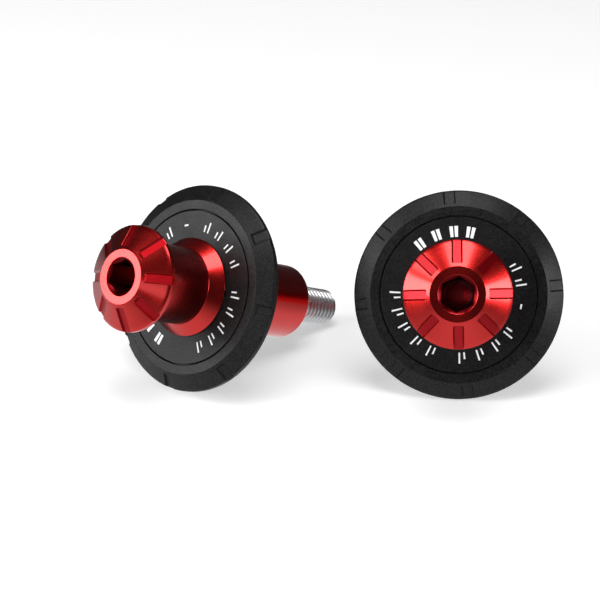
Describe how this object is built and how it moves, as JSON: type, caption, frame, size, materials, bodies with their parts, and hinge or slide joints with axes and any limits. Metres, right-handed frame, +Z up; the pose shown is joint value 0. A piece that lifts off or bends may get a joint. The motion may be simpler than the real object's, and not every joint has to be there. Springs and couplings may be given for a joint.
{
  "type": "handlebar end weights",
  "caption": "Pair of motorcycle handlebar end weights with red slotted caps, black protective rims, plain rear bodies and long threaded screws.",
  "frame": {"origin": "middle of the pair's bounding box in X and Y, on the surface that both weights lie on", "axes": "+Z up; +X from the left weight to the right one; +Y away from the viewer, so the caps point towards -Y"},
  "size_m": [0.121, 0.0798, 0.0502],
  "materials": {
    "red_anodised": "satin red anodised, turned",
    "rim_black": "fine-grained moulded nylon",
    "disc_black": "fine-grained, with a printed ring of white marks",
    "black_rubber": "smooth matte",
    "zinc_steel": "bright zinc plated"
  },
  "bodies": {
    "rear_bodies": {"left_body": "red_anodised", "right_body": "red_anodised"},
    "left_fastener": {"left_cap": "red_anodised", "left_seal": "black_rubber", "left_screw": "zinc_steel"},
    "left_guard": {"left_rim": "rim_black", "left_disc": "disc_black"},
    "right_fastener": {"right_cap": "red_anodised", "right_seal": "black_rubber", "right_screw": "zinc_steel"},
    "right_guard": {"right_rim": "rim_black", "right_disc": "disc_black"}
  },
  "joints": [
    {"name": "left_fastener_turn", "type": "hinge", "parent": "rear_bodies", "child": "left_fastener", "pos_m": [-0.03472, -0.00673, 0.02539], "axis": [-0.6274, -0.6728, 0.3922], "continuous": true},
    {"name": "left_guard_turn", "type": "hinge", "parent": "rear_bodies", "child": "left_guard", "pos_m": [-0.03472, -0.00673, 0.02539], "axis": [-0.6274, -0.6728, 0.3922], "continuous": true},
    {"name": "right_fastener_turn", "type": "hinge", "parent": "rear_bodies", "child": "right_fastener", "pos_m": [0.03348, -0.01123, 0.02539], "axis": [-0.0786, -0.9165, 0.3922], "continuous": true},
    {"name": "right_guard_turn", "type": "hinge", "parent": "rear_bodies", "child": "right_guard", "pos_m": [0.03348, -0.01123, 0.02539], "axis": [-0.0786, -0.9165, 0.3922], "continuous": true}
  ]
}
